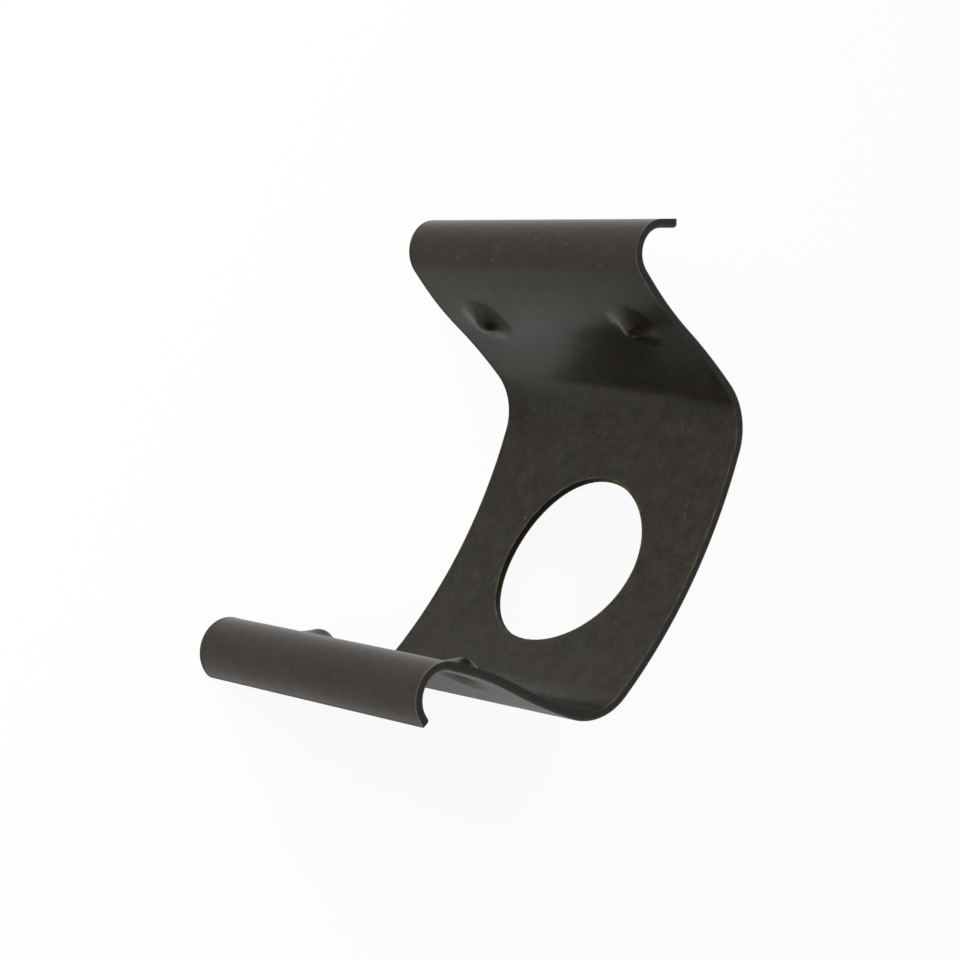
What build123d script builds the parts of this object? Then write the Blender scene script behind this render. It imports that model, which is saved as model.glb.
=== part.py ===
from build123d import *
from math import degrees
import os

# A clip of one spring-steel strip, bent into a C. The web is the bowed back with the
# round hole. An arm goes forward from each end of the web and ends in a lip that rolls
# outwards. The origin is the hole's centre, X runs along the web, Y points out of the
# clip's back and Z runs across the strip, so the clip lies on one of its long cut edges.

# Strip, in millimetres
strip_width = 25.0
strip_thickness = 0.63
tip_corner_radius = 0.35
edge_break = 0.08

# Web. Lengths and bend radii here and below are along the middle of the thickness
web_length = 19.7
bow_radius = 41.5
hole_diameter = 13.5
hole_shift = 0.2

# Arms: a corner, a gentle inward bow, a slight kink back outwards, a short straight end
corner_radius = 4.4
corner_angle = 63.0
arm_bow_length = 5.7
kink_radius = 24.5
kink_angle = 11.4
arm_end_length = 1.0

# Lips. The left one ends in a flat, and the right one is rolled further round
left_lip_radius = 2.05
left_lip_angle = 129.0
left_lip_flat = 1.6
right_lip_radius = 2.1
right_lip_angle = 146.0
right_lip_flat = 0.4

# Bumps pressed inwards, two across each arm: a round crown that runs over a hollow skirt
# into the arm. The reach is measured along the strip, from the hole's axis
bump_reach = 21.5
bump_spacing = 16.2
bump_height = 0.86
bump_crown_radius = 1.3
bump_skirt_radius = 3.6


def half_path(shift, lip_radius, lip_angle, lip_flat):
    """The edges from the web's middle to the right tip, shifted towards the clip's outside."""
    runs = [
        (bow_radius, -degrees(web_length / 2 / bow_radius)),
        (corner_radius, -corner_angle),
        (bow_radius, -degrees(arm_bow_length / bow_radius)),
        (kink_radius, kink_angle),
        (arm_end_length, 0),
        (lip_radius, lip_angle),
        (lip_flat, 0),
    ]
    point, heading, edges = Vector(0, shift), Vector(1, 0), []
    for size, turn in runs:
        if turn == 0:
            edge = Line(point, point + heading * size)
        elif turn > 0:
            edge = JernArc(point, heading, size - shift, turn)
        else:
            edge = JernArc(point, heading, size + shift, turn)
        edges.append(edge)
        point, heading = edge @ 1, edge % 1
    return edges


def half_strip(lip):
    """Half of the bent strip, from the web's middle to a tip with rounded corners."""
    outside = half_path(strip_thickness / 2, *lip)
    inside = half_path(-strip_thickness / 2, *lip)
    middle = Line(inside[0] @ 0, outside[0] @ 0)
    tip = Line(inside[-1] @ 1, outside[-1] @ 1)
    section = make_face(Wire([*outside, *inside, middle, tip]))
    strip = extrude(section, amount=strip_width / 2, both=True)
    tip_face = strip.faces().sort_by_distance(tip @ 0.5)[0]
    corners = tip_face.edges().filter_by(Axis.Z, reverse=True)
    return fillet(corners, tip_corner_radius)


def arm_plane(lip, reach):
    """The plane that touches the arm's middle layer at the bumps' reach, facing inwards."""
    path = Wire(half_path(0, *lip))
    place = path.position_at(reach, position_mode=PositionMode.LENGTH)
    heading = path.tangent_at(reach, position_mode=PositionMode.LENGTH)
    return Plane(origin=place, x_dir=(0, 0, 1), z_dir=(heading.Y, -heading.X))


def press_bump(strip, plane, across):
    """Raises one round bump on the inside, with its hollow behind and a skirt round each."""
    depth = strip_thickness / 2 + bump_height - bump_crown_radius
    centre = plane * Pos(across, 0, depth)
    crown = split(centre * Sphere(bump_crown_radius), bisect_by=plane, keep=Keep.TOP)
    raised = strip + crown
    raised = fillet(new_edges(strip, crown, combined=raised), bump_skirt_radius)
    hollow = centre * Sphere(bump_crown_radius - strip_thickness)
    pressed = raised - hollow
    rim = new_edges(raised, hollow, combined=pressed)
    return fillet(rim, bump_skirt_radius + strip_thickness)


def half_clip(lip, reach):
    """Half of the strip with its two bumps, at a reach from the web's middle."""
    half, plane = half_strip(lip), arm_plane(lip, reach)
    for across in (-bump_spacing / 2, bump_spacing / 2):
        half = press_bump(half, plane, across)
    return half


def make_clip():
    """Both halves as one strip, with its cut edges broken all round and the hole punched."""
    right_lip = (right_lip_radius, right_lip_angle, right_lip_flat)
    left_lip = (left_lip_radius, left_lip_angle, left_lip_flat)
    right = half_clip(right_lip, bump_reach + hole_shift)
    left = half_clip(left_lip, bump_reach - hole_shift)
    strip = (right + mirror(left, about=Plane.YZ)).clean()
    cut_edges = strip.faces().filter_by(Axis.Z).edges()
    strip = chamfer(cut_edges, edge_break)
    punch = Rot(90, 0, 0) * Cylinder(hole_diameter / 2, web_length)
    return Pos(-hole_shift, 0, 0) * strip - punch


os.makedirs("parts", exist_ok=True)
export_step(make_clip(), "parts/clip.step")
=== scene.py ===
from math import cos, pi, radians, sin, sqrt

import bpy
import numpy as np
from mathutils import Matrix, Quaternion, Vector


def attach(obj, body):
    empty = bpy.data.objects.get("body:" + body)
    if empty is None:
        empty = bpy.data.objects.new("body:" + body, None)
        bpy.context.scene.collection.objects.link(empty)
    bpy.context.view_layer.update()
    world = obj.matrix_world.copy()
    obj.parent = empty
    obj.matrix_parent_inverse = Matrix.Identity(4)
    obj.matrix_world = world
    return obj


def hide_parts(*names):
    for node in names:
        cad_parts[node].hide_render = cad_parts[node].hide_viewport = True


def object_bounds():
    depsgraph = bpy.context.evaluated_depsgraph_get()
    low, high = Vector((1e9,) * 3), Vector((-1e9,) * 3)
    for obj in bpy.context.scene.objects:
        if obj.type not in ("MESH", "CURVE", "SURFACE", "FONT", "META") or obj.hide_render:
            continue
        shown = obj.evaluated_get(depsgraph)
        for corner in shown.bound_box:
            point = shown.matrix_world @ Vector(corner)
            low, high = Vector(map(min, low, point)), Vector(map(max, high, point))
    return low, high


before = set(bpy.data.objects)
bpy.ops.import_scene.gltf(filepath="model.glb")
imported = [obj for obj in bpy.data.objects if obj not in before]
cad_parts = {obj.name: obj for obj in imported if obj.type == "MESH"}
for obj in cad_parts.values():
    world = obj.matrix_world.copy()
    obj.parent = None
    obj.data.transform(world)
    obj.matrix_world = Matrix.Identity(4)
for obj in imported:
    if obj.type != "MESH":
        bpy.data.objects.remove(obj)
cad_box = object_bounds()
scene = bpy.context.scene
scene.view_settings.view_transform = "Standard"


# Camera
# It looks down into the clip's mouth from in front and to the right, and is rolled over
# on its side, so that the lying clip shows as it stands in the photograph.
MM = 0.001
AIM = Vector((-2.134, -8.036, -3.949)) * MM
DISTANCE = 187.27 * MM
AZIMUTH, ELEVATION, CAMERA_ROLL = radians(25.198), radians(49.938), radians(96.595)
LENS, SENSOR = 95.935, 36.0
NEAREST, FURTHEST = DISTANCE / 20, DISTANCE * 40

back = Vector((sin(AZIMUTH) * cos(ELEVATION), -cos(AZIMUTH) * cos(ELEVATION), sin(ELEVATION)))
camera = bpy.data.objects.new("camera", bpy.data.cameras.new("camera"))
camera.data.lens, camera.data.sensor_width = LENS, SENSOR
camera.data.clip_start, camera.data.clip_end = NEAREST, FURTHEST
camera.location = AIM + back * DISTANCE
camera.rotation_mode = "QUATERNION"
camera.rotation_quaternion = back.to_track_quat("Z", "Y") @ Quaternion((0, 0, 1), CAMERA_ROLL)
scene.collection.objects.link(camera)
scene.camera = camera


# Light
# A white tent, which is plain white to the camera and in gloss but lights things only weakly,
# and one large soft lamp in front of the clip's mouth, so that the web's shadow falls behind
# it. The lamp itself shows in no reflection.
DOME_LIGHT = 0.15
LAMP_POWER, LAMP_SIZE = 1.53, 300 * MM
LAMP_DISTANCE, LAMP_ELEVATION = 320 * MM, radians(35)


def empty_tree(owner):
    """The node tree of a world or a material, with nothing in it yet."""
    owner.use_nodes = True
    owner.node_tree.nodes.clear()
    return owner.node_tree


def add_node(tree, kind, settings=None, links=None):
    """Adds a node. Keys are its properties or its sockets, a socket by name or by number."""
    node = tree.nodes.new(kind)
    for key, value in (settings or {}).items():
        if isinstance(key, int) or key in node.inputs:
            node.inputs[key].default_value = value
        else:
            setattr(node, key, value)
    for key, socket in (links or {}).items():
        tree.links.new(socket, node.inputs[key])
    return node


def seen_white(tree, by_camera, in_gloss):
    """How far a thing counts as plain white: one share for rays from the camera, one for rays
    off gloss and through glass, and none for the light that falls on things."""
    rays = add_node(tree, "ShaderNodeLightPath")
    gloss_or_glass = add_node(tree, "ShaderNodeMath", {"operation": "MAXIMUM"},
                              {0: rays.outputs["Is Glossy Ray"],
                               1: rays.outputs["Is Transmission Ray"]})
    gloss = add_node(tree, "ShaderNodeMath", {"operation": "MULTIPLY", 1: in_gloss},
                     {0: gloss_or_glass.outputs[0]})
    return add_node(tree, "ShaderNodeMath", {"operation": "MULTIPLY_ADD", 1: by_camera},
                    {0: rays.outputs["Is Camera Ray"], 2: gloss.outputs[0]}).outputs[0]


world = bpy.data.worlds.new("white_tent")
scene.world = world
tree = empty_tree(world)
strength = add_node(tree, "ShaderNodeMapRange", {"To Min": DOME_LIGHT, "To Max": 1.0},
                    {"Value": seen_white(tree, 1.0, 1.0)})
dome = add_node(tree, "ShaderNodeBackground", {"Color": (1, 1, 1, 1)},
                {"Strength": strength.outputs[0]})
add_node(tree, "ShaderNodeOutputWorld", None, {"Surface": dome.outputs[0]})

towards = Vector((0, -cos(LAMP_ELEVATION), sin(LAMP_ELEVATION)))
lamp = bpy.data.objects.new("front_lamp", bpy.data.lights.new("front_lamp", "AREA"))
lamp.data.energy, lamp.data.size = LAMP_POWER, LAMP_SIZE
lamp.location = towards * LAMP_DISTANCE
lamp.rotation_euler = towards.to_track_quat("Z", "Y").to_euler()
lamp.visible_glossy = False
scene.collection.objects.link(lamp)


# Floor
# A sheet of white paper under the clip. To the camera it is nearly plain white, so that it
# runs into the tent and keeps only a faint shadow of the clip. In gloss it is nearly as the
# light falls on it, so that the steel mirrors the darker floor behind the web.
FLOOR_SIZE = 2.0
PAPER_WHITE = "#ffffff"
WHITE_TO_CAMERA, WHITE_IN_GLOSS = 0.92, 0.05


def linear(code):
    """The linear RGBA of an sRGB hex colour such as "#3c3a34"."""
    channel = np.array([int(code[i:i + 2], 16) for i in (1, 3, 5)]) / 255
    value = np.where(channel <= 0.04045, channel / 12.92, ((channel + 0.055) / 1.055) ** 2.4)
    return (*value.tolist(), 1.0)


corners = np.array([(-1, -1), (1, -1), (1, 1), (-1, 1)]) * FLOOR_SIZE / 2
floor_mesh = bpy.data.meshes.new("floor")
floor_mesh.from_pydata([(x, y, cad_box[0].z) for x, y in corners.tolist()], [], [(0, 1, 2, 3)])
floor = bpy.data.objects.new("floor", floor_mesh)
scene.collection.objects.link(floor)

paper = bpy.data.materials.new("matt_white_paper")
tree = empty_tree(paper)
matt = add_node(tree, "ShaderNodeBsdfDiffuse", {"Color": linear(PAPER_WHITE)})
glow = add_node(tree, "ShaderNodeEmission", {"Color": (1, 1, 1, 1), "Strength": 1.0})
mixed = add_node(tree, "ShaderNodeMixShader", None,
                 {0: seen_white(tree, WHITE_TO_CAMERA, WHITE_IN_GLOSS), 1: matt.outputs[0],
                  2: glow.outputs[0]})
add_node(tree, "ShaderNodeOutputMaterial", None, {"Surface": mixed.outputs[0]})
floor_mesh.materials.append(paper)


# Clip
# One strip of spring steel, sheared from the sheet, punched with a round hole, pressed
# with four bumps and bent in a press into a C whose lips roll outwards, then hardened,
# blackened and oiled. Lengths and bend radii are along the middle of the thickness, in mm.
WIDTH, THICKNESS, TIP_CORNER = 25.0, 0.63, 0.35
HOLE_RADIUS, HOLE_SHIFT = 6.75, 0.2
WEB_HALF, BOW = 9.85, 41.5

# An arm has a corner, an inward bow like the web's, a kink back outwards and a straight end.
# Turns are in degrees. A lip is its radius, its turn and the flat at its tip.
CORNER, CORNER_TURN = 4.4, 63.0
ARM_BOW = 5.7
KINK, KINK_TURN = 24.5, 11.4
ARM_END = 1.0
LEFT_LIP = (2.05, 129.0, 1.53)
RIGHT_LIP = (2.1, 146.0, 0.34)

# A bump's axis lies BUMP_REACH along the strip from the hole's and BUMP_ACROSS from the
# middle of the width. Its section has a nose, a flank and a bend, given by their radii, and
# the nose leans by BUMP_LEAN where the flank starts. The flank's centre is FLANK_X from the
# bump's axis and FLANK_Y above the flat, where the bend ends at BUMP_FOOT from the axis.
BUMP_REACH, BUMP_ACROSS, BUMP_HEIGHT = 21.5, 8.1, 0.84
BUMP_NOSE, BUMP_FLANK, BUMP_BEND, BUMP_LEAN = 1.2, 4.8, 0.3, radians(32.5)
FLANK_X = (BUMP_NOSE + BUMP_FLANK) * sin(BUMP_LEAN)
FLANK_Y = BUMP_HEIGHT - BUMP_NOSE + (BUMP_NOSE + BUMP_FLANK) * cos(BUMP_LEAN)
BUMP_FOOT = FLANK_X - sqrt((BUMP_FLANK - BUMP_BEND) ** 2 - (FLANK_Y - BUMP_BEND) ** 2)

# Along its cut edges the strip has a burr on the inside, with a small round at its top, and
# a rolled edge on the outside, both within EDGE_BAND. The inside face lies back by the
# burr's height, so that the burr's ridge stands at the full thickness.
EDGE_BAND = 0.32
BURR_HEIGHT, BURR_WIDTH, ARRIS = 0.02, 0.24, 0.03
ROLL_ACROSS, ROLL_DEPTH = 0.28, 0.22
INSIDE, OUTSIDE = BURR_HEIGHT - THICKNESS / 2, THICKNESS / 2


def strip_runs(lip):
    """Lengths and turns, in mm and radians, of the runs from the web's middle to a tip."""
    radius, turn, flat = lip
    lengths = [WEB_HALF, CORNER * radians(CORNER_TURN), ARM_BOW, KINK * radians(KINK_TURN),
               ARM_END, radius * radians(turn), flat]
    turns = [-WEB_HALF / BOW, -radians(CORNER_TURN), -ARM_BOW / BOW, radians(KINK_TURN),
             0, radians(turn), 0]
    return np.array(lengths), np.array(turns)


def bent_path(s, lip):
    """Places and headings of the strip's middle layer at lengths s from the web's middle.

    The runs are arcs and straights, end to end. From a place p with heading h, on a run that
    turns by c for each millimetre, the place after d millimetres is p plus d times
    sin(c d / 2) / (c d / 2) in the direction h + c d / 2. Places are complex, x + iy.
    """
    lengths, turns = strip_runs(lip)
    starts = np.concatenate([[0], np.cumsum(lengths)])
    headings = np.concatenate([[0], np.cumsum(turns)])
    chords = lengths * np.sinc(turns / 2 / pi) * np.exp(1j * (headings[:-1] + turns / 2))
    places = np.concatenate([[0], np.cumsum(chords)])
    run = np.clip(np.searchsorted(starts, s, side="right") - 1, 0, len(lengths) - 1)
    along = s - starts[run]
    half_turn = turns[run] / lengths[run] * along / 2
    step = along * np.sinc(half_turn / pi) * np.exp(1j * (headings[run] + half_turn))
    return places[run] + step, headings[run] + 2 * half_turn


def bump_rise(s, w, q):
    """How far the layer q is pressed inwards at the blank's place (s, w).

    In section a bump is a round nose, a hollow flank that starts where the nose leans by
    BUMP_LEAN, and a small bend that ends on the flat at BUMP_FOOT from the axis, all arcs
    that run into each other. Layers further out than the inside face have a smaller nose and
    a larger flank and bend. Each rise is its arc's centre plus or less the arc's height.
    """
    depth = q + THICKNESS / 2
    nose, flank, bend = BUMP_NOSE - depth, BUMP_FLANK + depth, BUMP_BEND + depth
    bend_start = BUMP_FOOT - bend * (FLANK_X - BUMP_FOOT) / (BUMP_FLANK - BUMP_BEND)
    reach = np.hypot(np.abs(s - HOLE_SHIFT) - BUMP_REACH, np.abs(w) - BUMP_ACROSS)
    on_nose = BUMP_HEIGHT - nose + np.sqrt(np.clip(nose ** 2 - reach ** 2, 0, None))
    on_flank = FLANK_Y + depth - np.sqrt(flank ** 2 - np.clip(FLANK_X - reach, 0, flank) ** 2)
    on_bend = bend - np.sqrt(bend ** 2 - np.clip(BUMP_FOOT - reach, 0, bend) ** 2)
    past_nose = np.where(reach < bend_start, on_flank, on_bend)
    return np.where(reach < nose * sin(BUMP_LEAN), on_nose, past_nose)


def formed(blank):
    """The bent clip's points, in metres, for places (s, w, q) on the flat blank.

    s runs along the strip from the web's middle, positive to the right, w runs across it,
    and q through its thickness, positive outwards. The point stands off the bent path by q
    less the bump's rise, at a right angle to it. The left half is the right half's mirror
    image, with its own lip.
    """
    s, w, q = blank.T
    right, right_heading = bent_path(np.abs(s), RIGHT_LIP)
    left, left_heading = bent_path(np.abs(s), LEFT_LIP)
    place = np.where(s < 0, left, right)
    heading = np.where(s < 0, left_heading, right_heading)
    place = place + (q - bump_rise(s, w, q)) * 1j * np.exp(1j * heading)
    x = np.where(s < 0, -place.real, place.real) - HOLE_SHIFT
    return np.column_stack([x, place.imag, w]) * MM


# Rows lie across the strip and columns along it. Round a bump they are rings out to
# BUMP_ROOM, close together over the bend, which no layer has wider than BEND_ROOM. The rows
# of a tip's flat start FLAT_LEAD before it, because the right flat is shorter than the tip's
# corner. NO_DISTANCE stands in for zero at a bump's axis, where a distance divides.
CORNER_ROWS, ROWS_BEFORE_BUMP, ROWS_AFTER_BUMP = 24, 4, 3
LIP_ROWS, FLAT_ROWS, TIP_ROWS, FLAT_LEAD = 36, 5, 6, 0.05
NOSE_RINGS, FLANK_RINGS, BEND_RINGS, ROOM_RINGS = 5, 8, 3, 3
BEND_ROOM, BUMP_ROOM, NO_DISTANCE = 0.21, 3.4, 1e-9
MIDDLE_COLUMNS, SIDE_COLUMNS = 10, 4


def stretches(*parts):
    """Numbers from end to end through parts (start, end, count), each part evenly divided."""
    cuts = [np.linspace(start, end, count, endpoint=False) for start, end, count in parts]
    return np.concatenate([*cuts, [parts[-1][1]]])


def arm_grid(lip, bump):
    """Places (s, w) over an arm and its lip, up to the edge band, and the edge's lean.

    Within BUMP_ROOM of a bump's centre, rows and columns are drawn in to circles round it:
    the factor is the larger offset over the distance, and it fades back to 1 at the room's
    border. The last rows are shorter, as the tip's rounded corners need: there the outward
    direction of the edge leans from straight across, 0, to straight along, a right angle.
    Columns are shares of a row's half width, so that they close up on the shorter rows.
    """
    lengths, turns = strip_runs(lip)
    end = lengths.sum()
    corner_end = lengths[:2].sum()
    lip_start, lip_end = end - lengths[-2] - lengths[-1], end - lengths[-1]
    flat_start, round_start = lip_end - FLAT_LEAD, end - TIP_CORNER
    nose_end, bend_start = BUMP_NOSE * sin(BUMP_LEAN), BUMP_FOOT - BEND_ROOM
    rings = stretches((0, nose_end, NOSE_RINGS), (nose_end, bend_start, FLANK_RINGS),
                      (bend_start, BUMP_FOOT, BEND_RINGS), (BUMP_FOOT, BUMP_ROOM, ROOM_RINGS))
    rings = np.concatenate([-rings[:0:-1], rings])
    lean = np.linspace(0, pi / 2, TIP_ROWS + 1)[1:]
    corner = TIP_CORNER - EDGE_BAND
    s = np.concatenate([
        stretches((WEB_HALF, corner_end, CORNER_ROWS),
                  (corner_end, bump - BUMP_ROOM, ROWS_BEFORE_BUMP))[:-1],
        bump + rings[:-1],
        stretches((bump + BUMP_ROOM, lip_start, ROWS_AFTER_BUMP),
                  (lip_start, flat_start, LIP_ROWS), (flat_start, round_start, FLAT_ROWS)),
        round_start + corner * np.sin(lean)])
    lean = np.concatenate([np.zeros(len(s) - len(lean)), lean])
    half = WIDTH / 2 - np.where(lean > 0, TIP_CORNER - corner * np.cos(lean), EDGE_BAND)
    side = np.linspace(BUMP_ACROSS + BUMP_ROOM, half[0], SIDE_COLUMNS + 1)[1:]
    w = np.concatenate([BUMP_ACROSS + rings, side])
    middle = np.linspace(-w[0], w[0], MIDDLE_COLUMNS + 1)[1:-1]
    w = np.concatenate([-w[::-1], middle, w]) / half[0]
    s, w = np.broadcast_arrays(s[:, None], half[:, None] * w)
    along, across = s - bump, np.abs(w) - BUMP_ACROSS
    share = np.maximum(np.abs(along), np.abs(across)) / BUMP_ROOM
    fade = np.clip((share - BUMP_FOOT / BUMP_ROOM) / (1 - BUMP_FOOT / BUMP_ROOM), 0, 1)
    distance = np.maximum(np.hypot(along, across), NO_DISTANCE)
    pull = fade + (1 - fade) * share * BUMP_ROOM / distance
    return bump + along * pull, np.sign(w) * (BUMP_ACROSS + across * pull), lean


# Steps over the burr's climb, its round and the rolled edge, and the rows on the sheared
# wall between them, as shares of its depth.
CLIMB_STEPS, ARRIS_STEPS, ROLL_STEPS = 6, 3, 8
WALL_ROWS = (0.03, 0.5, 0.97)


def edge_section():
    """The strip's edge in section, from the inside face to the outside one.

    Gives the distance out from the edge band's start, the layer q and the cut. The blade came
    in from the outside, so there the edge is rolled over, as a quarter of an ellipse. Inside
    it left a burr: the face rises to it by half a cosine wave and ends in a small round. The
    cut is 0 on the faces, grows evenly to 1 up the burr and stays 1 over the sheared wall.
    """
    climb = np.linspace(0, 1, CLIMB_STEPS + 1)
    arris = np.linspace(0, pi / 2, ARRIS_STEPS + 1)[1:]
    wall = np.array(WALL_ROWS)
    roll = np.linspace(0, pi / 2, ROLL_STEPS + 1)
    wall_start, wall_end = ARRIS - THICKNESS / 2, OUTSIDE - ROLL_DEPTH
    out = np.concatenate([[0], EDGE_BAND - ARRIS - BURR_WIDTH * (1 - climb),
                          EDGE_BAND - ARRIS * (1 - np.sin(arris)),
                          np.full(len(wall), EDGE_BAND),
                          EDGE_BAND - ROLL_ACROSS * (1 - np.cos(roll)), [0]])
    q = np.concatenate([[INSIDE], INSIDE - BURR_HEIGHT * (1 - np.cos(pi * climb)) / 2,
                        wall_start - ARRIS * np.cos(arris),
                        wall_start + (wall_end - wall_start) * wall,
                        wall_end + ROLL_DEPTH * np.sin(roll), [OUTSIDE]])
    cut = np.concatenate([[0], climb, np.ones(len(arris) + len(wall) + 1), np.zeros(len(roll))])
    return out, q, cut


def hole_ring(angle, radius, q):
    """Places (s, w) on a circle about the hole's axis, as the layer q meets it.

    The punch goes straight in, so the circle is round in x and w: the layer's bow has the
    radius BOW + q, and s is BOW times the arc sine of x over it.
    """
    x = HOLE_SHIFT + radius * np.cos(angle)
    return BOW * np.arcsin(x / (BOW + q)), radius * np.sin(angle)


grids = []


def add_grid(s, w, q, flip, cut=0.0):
    """Keeps a grid of blank places, with flip where its rows and columns turn inwards."""
    grids.append((*np.broadcast_arrays(s, w, q, cut), flip))


# The faces are the two arms and the web. The web's rings run from the hole to its border, as
# shares of that way (start, end, count), closest at the hole.
WEB_STEPS = 44
HOLE_RINGS = ((0, 0.012, 1), (0.012, 0.06, 2), (0.06, 1, 12))

right_s, right_w, right_lean = arm_grid(RIGHT_LIP, BUMP_REACH + HOLE_SHIFT)
left_s, left_w, left_lean = arm_grid(LEFT_LIP, BUMP_REACH - HOLE_SHIFT)
left_s = -left_s
web_s = np.linspace(WEB_HALF, -WEB_HALF, WEB_STEPS + 1)[1:-1]
web_w = np.full(len(web_s), WIDTH / 2 - EDGE_BAND)

border_s = np.concatenate([right_s[0], web_s, left_s[0], web_s[::-1], right_s[0, :1]])
border_w = np.concatenate([right_w[0], web_w, left_w[0, ::-1], -web_w, right_w[0, :1]])
border_angle = np.arctan2(border_w, border_s - HOLE_SHIFT)
outwards = stretches(*HOLE_RINGS)[:, None]
for layer, flip in ((INSIDE, False), (OUTSIDE, True)):
    add_grid(right_s, right_w, layer, flip)
    add_grid(left_s, left_w, layer, not flip)
    ring_s, ring_w = hole_ring(border_angle, HOLE_RADIUS + EDGE_BAND, layer)
    add_grid(ring_s * (1 - outwards) + border_s * outwards,
             ring_w * (1 - outwards) + border_w * outwards, layer, flip)

# The edge's section is carried round the hole and once round the strip: over the right tip,
# along the upper edge, over the left tip and back along the lower edge.
out, q, cut = (column[:, None] for column in edge_section())
loop_s = np.concatenate([right_s[-1], right_s[-2::-1, -1], web_s, left_s[:, -1],
                         left_s[-1, -2::-1], left_s[-2::-1, 0], web_s[::-1], right_s[:, 0]])
loop_w = np.concatenate([right_w[-1], right_w[-2::-1, -1], web_w, left_w[:, -1],
                         left_w[-1, -2::-1], left_w[-2::-1, 0], -web_w, right_w[:, 0]])
web_lean = np.zeros(len(web_s))
right_tip = np.full(right_s.shape[1], pi / 2)
left_tip = np.full(left_s.shape[1] - 1, pi / 2)
loop_lean = np.concatenate([right_tip, right_lean[-2::-1], web_lean, left_lean,
                            left_tip, left_lean[-2::-1], web_lean, right_lean])
add_grid(loop_s + out * np.sin(loop_lean) * np.sign(loop_s),
         loop_w + out * np.cos(loop_lean) * np.sign(loop_w), q, False, cut)
add_grid(*hole_ring(border_angle, HOLE_RADIUS + EDGE_BAND - out, q), q, True, cut)

# Places of two grids that fall together, to SAME_PLACE, are one vertex.
SAME_PLACE = 1e-4

blank, cuts, faces = [], [], []
for s, w, q, cut, flip in grids:
    number = sum(map(len, blank)) + np.arange(s.size).reshape(s.shape)
    corner = number[:-1, :-1], number[1:, :-1], number[1:, 1:], number[:-1, 1:]
    faces.append(np.stack(corner[::-1] if flip else corner, axis=-1).reshape(-1, 4))
    blank.append(np.stack([s, w, q], axis=-1).reshape(-1, 3))
    cuts.append(cut.ravel())
blank, cuts, faces = np.concatenate(blank), np.concatenate(cuts), np.concatenate(faces)
_, kept, joined = np.unique(np.round(blank / SAME_PLACE).astype(int), axis=0,
                            return_index=True, return_inverse=True)
blank, cuts, faces = blank[kept], cuts[kept], joined.reshape(-1)[faces]

# A face has the sheared edge's finish, the second one, where all its corners are on the cut.
clip_mesh = bpy.data.meshes.new("spring_clip")
clip_mesh.from_pydata(formed(blank).tolist(), [], faces.tolist())
clip_mesh.shade_smooth()
clip_mesh.attributes.new("blank", "FLOAT_VECTOR", "POINT").data.foreach_set("vector", blank.ravel())
clip_mesh.attributes.new("cut", "FLOAT", "POINT").data.foreach_set("value", cuts)
clip_mesh.polygons.foreach_set("material_index", (cuts[faces].min(axis=1) == 1).astype(int))
clip = bpy.data.objects.new("spring_clip", clip_mesh)
scene.collection.objects.link(clip)

# Black phosphate over spring steel, rubbed with oil: a soft dark sheen that is almost all
# reflection, mottled brown and green in patches about PATCH across. The blank's own
# millimetres place each pattern, so that it follows the strip round its bends.
PATCH, BROWN_BELOW, GREEN_ABOVE = 0.95, 0.39, 0.67
BROWN, GREEN = "#150907", "#030e07"
BROWN_SHEEN, GREEN_SHEEN = "#ffebd8", "#f7ffe4"

steel = bpy.data.materials.new("blackened_spring_steel")
tree = empty_tree(steel)
place = add_node(tree, "ShaderNodeAttribute", {"attribute_name": "blank"}).outputs["Vector"]
ridge = add_node(tree, "ShaderNodeAttribute", {"attribute_name": "cut"}).outputs["Fac"]
patches = add_node(tree, "ShaderNodeTexNoise",
                   {"Scale": 1 / PATCH, "Detail": 4.0, "Roughness": 0.95}, {"Vector": place})
patch = add_node(tree, "ShaderNodeMapRange", {"From Min": BROWN_BELOW, "From Max": GREEN_ABOVE},
                 {"Value": patches.outputs["Fac"]}).outputs[0]
finish = add_node(tree, "ShaderNodeMix", {"data_type": "RGBA", 6: linear(BROWN),
                  7: linear(GREEN)}, {0: patch}).outputs[2]
sheen = add_node(tree, "ShaderNodeMix", {"data_type": "RGBA", 6: linear(BROWN_SHEEN),
                 7: linear(GREEN_SHEEN)}, {0: patch}).outputs[2]

# The oil lies in clouds about CLOUD across: where there is more of it, the coat is paler and
# shines more.
CLOUD, OIL_FROM, OIL_FULL = 1.3, 0.38, 0.68
OIL_BLOOM, DRY_SHEEN = "#221f17", "#dcd5c5"
clouds = add_node(tree, "ShaderNodeTexNoise",
                  {"Scale": 1 / CLOUD, "Detail": 5.0, "Roughness": 0.9}, {"Vector": place})
cloud = add_node(tree, "ShaderNodeMapRange", {"From Min": OIL_FROM, "From Max": OIL_FULL},
                 {"Value": clouds.outputs["Fac"]}).outputs[0]
finish = add_node(tree, "ShaderNodeMix", {"data_type": "RGBA", 7: linear(OIL_BLOOM)},
                  {0: cloud, 6: finish}).outputs[2]
sheen = add_node(tree, "ShaderNodeMix", {"data_type": "RGBA", 6: linear(DRY_SHEEN)},
                 {0: cloud, 7: sheen}).outputs[2]

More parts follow.
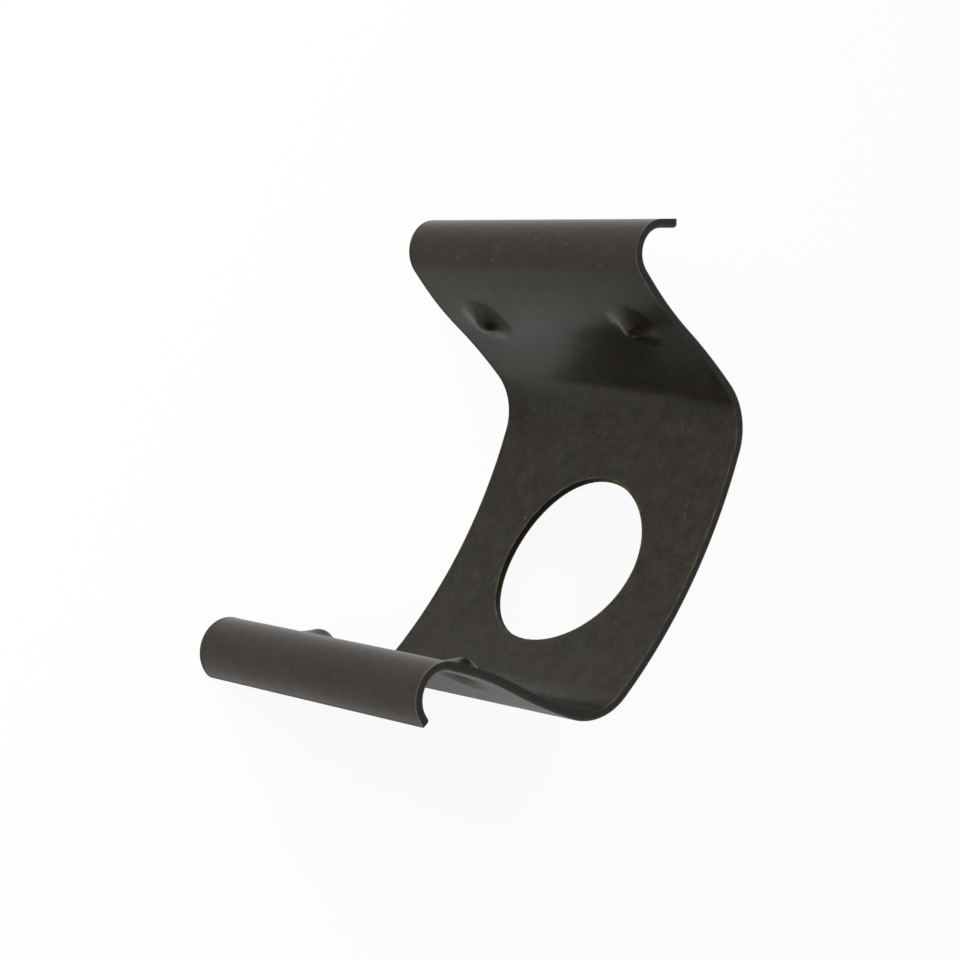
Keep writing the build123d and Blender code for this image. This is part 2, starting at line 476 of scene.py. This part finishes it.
# The lips were wiped most and are worn browner, in streaks across the strip that are about
# STREAK_LENGTH long and STREAK_APART apart. The wear starts LIP_REACH along the strip from
# the web's middle and is full LIP_FADE further on.
LIP_WEAR, LIP_REACH, LIP_FADE = "#251c19", 25.6, 2.2
STREAK_APART, STREAK_LENGTH, STREAK_FROM, STREAK_FULL = 0.12, 1.4, 0.25, 0.7
axes = add_node(tree, "ShaderNodeSeparateXYZ", None, {0: place})
reach = add_node(tree, "ShaderNodeMath", {"operation": "ABSOLUTE"}, {0: axes.outputs["X"]})
lip = add_node(tree, "ShaderNodeMapRange",
               {"From Min": LIP_REACH, "From Max": LIP_REACH + LIP_FADE},
               {"Value": reach.outputs[0]})
drawn = add_node(tree, "ShaderNodeMapping", {"Scale": (1 / STREAK_APART, 1 / STREAK_LENGTH, 1)},
                 {"Vector": place})
streaks = add_node(tree, "ShaderNodeTexNoise", {"Scale": 1.0, "Detail": 3.0, "Roughness": 0.8},
                   {"Vector": drawn.outputs[0]})
streak = add_node(tree, "ShaderNodeMapRange", {"From Min": STREAK_FROM, "From Max": STREAK_FULL},
                  {"Value": streaks.outputs["Fac"]})
worn = add_node(tree, "ShaderNodeMath", {"operation": "MULTIPLY"},
                {0: lip.outputs[0], 1: streak.outputs[0]})
finish = add_node(tree, "ShaderNodeMix", {"data_type": "RGBA", 7: linear(LIP_WEAR)},
                  {0: worn.outputs[0], 6: finish}).outputs[2]

# Where an arm runs into its lip, SHADE_BAND_REACH from the web's middle, the sheen is darkened
# in a band of painted shade, which softens the reflection where the straight arm meets the
# lip's bend: by SHADE_BAND_MOST out to SHADE_BAND_CORE from its middle, and by nothing from
# SHADE_BAND_HALF on.
SHADED_SHEEN, SHADE_BAND_REACH = "#c8c3b2", 26.0
SHADE_BAND_HALF, SHADE_BAND_CORE, SHADE_BAND_MOST = 1.7, 0.2, 0.8
past_band = add_node(tree, "ShaderNodeMath", {"operation": "SUBTRACT", 1: SHADE_BAND_REACH},
                     {0: reach.outputs[0]})
off_band = add_node(tree, "ShaderNodeMath", {"operation": "ABSOLUTE"}, {0: past_band.outputs[0]})
painted_shade = add_node(tree, "ShaderNodeMapRange",
                {"From Min": SHADE_BAND_HALF, "From Max": SHADE_BAND_CORE, "To Max": SHADE_BAND_MOST},
                {"Value": off_band.outputs[0]})
# Painted shade: the reflection is darkened in this band.
sheen = add_node(tree, "ShaderNodeMix", {"data_type": "RGBA", 7: linear(SHADED_SHEEN)},
                 {0: painted_shade.outputs[0], 6: sheen}).outputs[2]

# On the burr's ridge a paler colour is painted, broken up in places: a painted highlight where the
# ridge catches the light.
RIDGE_HIGHLIGHT, HIGHLIGHT_FROM, HIGHLIGHT_FULL = "#433d24", 0.35, 0.65
breaks = add_node(tree, "ShaderNodeTexNoise", {"Scale": 1 / PATCH, "Detail": 2.0},
                  {"Vector": place})
broken = add_node(tree, "ShaderNodeMapRange", {"From Min": HIGHLIGHT_FROM, "From Max": HIGHLIGHT_FULL},
                  {"Value": breaks.outputs["Fac"]})
painted_highlight = add_node(tree, "ShaderNodeMath", {"operation": "MULTIPLY"},
                  {0: ridge, 1: broken.outputs[0]})
# Painted highlight: the paler colour goes on along the burr's ridge.
finish = add_node(tree, "ShaderNodeMix", {"data_type": "RGBA", 7: linear(RIDGE_HIGHLIGHT)},
                  {0: painted_highlight.outputs[0], 6: finish}).outputs[2]

# Small marks on the inside: pale nicks and scratches of handling, and dark spots on the left
# lip. Each is an ellipse that fades out from MARK_CORE of its size: its place (s, w) and half
# lengths along and across in mm, its turn in degrees and its strength.
NICK, DARK_SPOT, MARK_CORE = "#4c4a3e", "#050403", 0.5
NICKS = ((-27.3, -6.9, 0.07, 0.32, 10, 0.4), (-27.15, -2.85, 0.2, 0.09, 60, 0.7),
         (-28.6, 1.75, 0.07, 0.32, 10, 0.45), (-28.25, 5.15, 0.12, 0.13, 0, 0.4),
         (-26.9, 8.65, 0.14, 0.5, 5, 0.2), (-28.8, -4.05, 0.1, 0.14, 0, 0.3),
         (-24.65, -7.85, 0.08, 0.45, 0, 0.2), (-24.05, -0.8, 0.12, 0.12, 0, 0.4),
         (-19.5, 10.45, 0.24, 0.11, 50, 0.6), (-12.75, 3.3, 0.1, 0.1, 0, 0.25),
         (-11.75, -9.4, 0.1, 0.1, 0, 0.8), (-10.95, -10.35, 0.15, 0.12, 30, 0.25),
         (-11.25, 6.9, 0.7, 0.2, 10, 0.15), (-10.15, -1.25, 0.2, 0.09, -40, 0.35),
         (-4.95, -8.85, 0.13, 0.12, 0, 0.45), (-5.35, 9.4, 0.2, 0.12, 20, 0.4),
         (-4.5, 9.7, 0.75, 0.07, 20, 0.3), (-0.95, 11.75, 0.15, 0.15, 0, 0.2),
         (2.5, -9.3, 0.22, 0.07, 0, 0.5), (1.95, -9.35, 0.2, 0.06, 0, 0.35),
         (-2.85, -6.85, 0.12, 0.14, 0, 0.9), (2.5, -6.8, 0.1, 0.14, 0, 0.7))
DARK_SPOTS = ((-28.55, -2.3, 0.36, 0.13, 20, 0.7), (-27.15, 0.45, 0.1, 0.16, 0, 0.6),
         (-26.2, -1.3, 0.2, 0.5, 0, 0.4))
for colour, marks in ((NICK, NICKS), (DARK_SPOT, DARK_SPOTS)):
    for s, w, along, across, turn, strength in marks:
        spot = add_node(tree, "ShaderNodeMapping", {"vector_type": "TEXTURE",
                        "Location": (s, w, INSIDE), "Rotation": (0, 0, radians(turn)),
                        "Scale": (along, across, THICKNESS / 2)}, {"Vector": place})
        far = add_node(tree, "ShaderNodeVectorMath", {"operation": "LENGTH"},
                       {"Vector": spot.outputs[0]})
        mark = add_node(tree, "ShaderNodeMapRange", {"From Min": 1.0, "From Max": MARK_CORE,
                        "To Max": strength}, {"Value": far.outputs["Value"]})
        finish = add_node(tree, "ShaderNodeMix", {"data_type": "RGBA", 7: linear(colour)},
                          {0: mark.outputs[0], 6: finish}).outputs[2]

# The phosphate's crystals are a few hundredths of a millimetre, too fine to show, so the
# grain is drawn coarser. They break up the oil's gloss, so it is weaker than a clear film's.
GRAIN, GRAIN_RELIEF, GRAIN_DEPTH = 0.11, 0.15, 0.02
SMOOTHEST, ROUGHEST = 0.26, 0.30
COAT_IOR, COAT_GLOSS = 1.5, 0.3
grain = add_node(tree, "ShaderNodeTexNoise", {"Scale": 1 / GRAIN, "Detail": 2.0},
                 {"Vector": place})
rough = add_node(tree, "ShaderNodeMapRange", {"To Min": SMOOTHEST, "To Max": ROUGHEST},
                 {"Value": grain.outputs["Fac"]})
relief = add_node(tree, "ShaderNodeBump", {"Strength": GRAIN_RELIEF,
                  "Distance": GRAIN_DEPTH * MM}, {"Height": grain.outputs["Fac"]})
shader = add_node(tree, "ShaderNodeBsdfPrincipled",
                  {"IOR": COAT_IOR, "Specular IOR Level": COAT_GLOSS},
                  {"Base Color": finish, "Roughness": rough.outputs[0], "Specular Tint": sheen,
                   "Normal": relief.outputs[0]})
add_node(tree, "ShaderNodeOutputMaterial", None, {"Surface": shader.outputs[0]})
clip_mesh.materials.append(steel)

# The sheared walls of the edges and the hole, torn by the blade and so duller than the faces.
# The slit edges are a dark grey with paler streaks through the thickness, and the hole's
# wall, which the punch burnished before the blackening, is near black.
SLIT_EDGE, SLIT_STREAK, PUNCHED_WALL = "#262527", "#302e2c", "#080403"
TEAR_APART, TEAR_DRAWN, TEAR_FROM, TEAR_FULL = 0.12, 0.15, 0.35, 0.7
WALL_GLOSS, WALL_ROUGHNESS = 0.07, 0.42

edge = bpy.data.materials.new("sheared_steel_edge")
tree = empty_tree(edge)
place = add_node(tree, "ShaderNodeAttribute", {"attribute_name": "blank"}).outputs["Vector"]
flat_place = add_node(tree, "ShaderNodeMapping", {"Location": (-HOLE_SHIFT, 0, 0),
                      "Scale": (1, 1, 0)}, {"Vector": place})
from_hole = add_node(tree, "ShaderNodeVectorMath", {"operation": "LENGTH"},
                     {"Vector": flat_place.outputs[0]})
punched = add_node(tree, "ShaderNodeMath", {"operation": "LESS_THAN", 1: HOLE_RADIUS + EDGE_BAND},
                   {0: from_hole.outputs["Value"]})
torn = add_node(tree, "ShaderNodeMapping", {"Scale": (1, 1, TEAR_DRAWN)}, {"Vector": place})
tears = add_node(tree, "ShaderNodeTexNoise",
                 {"Scale": 1 / TEAR_APART, "Detail": 2.0, "Roughness": 0.6},
                 {"Vector": torn.outputs[0]})
tear = add_node(tree, "ShaderNodeMapRange", {"From Min": TEAR_FROM, "From Max": TEAR_FULL},
                {"Value": tears.outputs["Fac"]})
wall = add_node(tree, "ShaderNodeMix", {"data_type": "RGBA", 6: linear(SLIT_EDGE),
                7: linear(SLIT_STREAK)}, {0: tear.outputs[0]})
wall = add_node(tree, "ShaderNodeMix", {"data_type": "RGBA", 7: linear(PUNCHED_WALL)},
                {0: punched.outputs[0], 6: wall.outputs[2]})
shader = add_node(tree, "ShaderNodeBsdfPrincipled",
                  {"IOR": COAT_IOR, "Specular IOR Level": WALL_GLOSS,
                   "Roughness": WALL_ROUGHNESS}, {"Base Color": wall.outputs[2]})
add_node(tree, "ShaderNodeOutputMaterial", None, {"Surface": shader.outputs[0]})
clip_mesh.materials.append(edge)

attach(clip, "root")
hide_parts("clip")
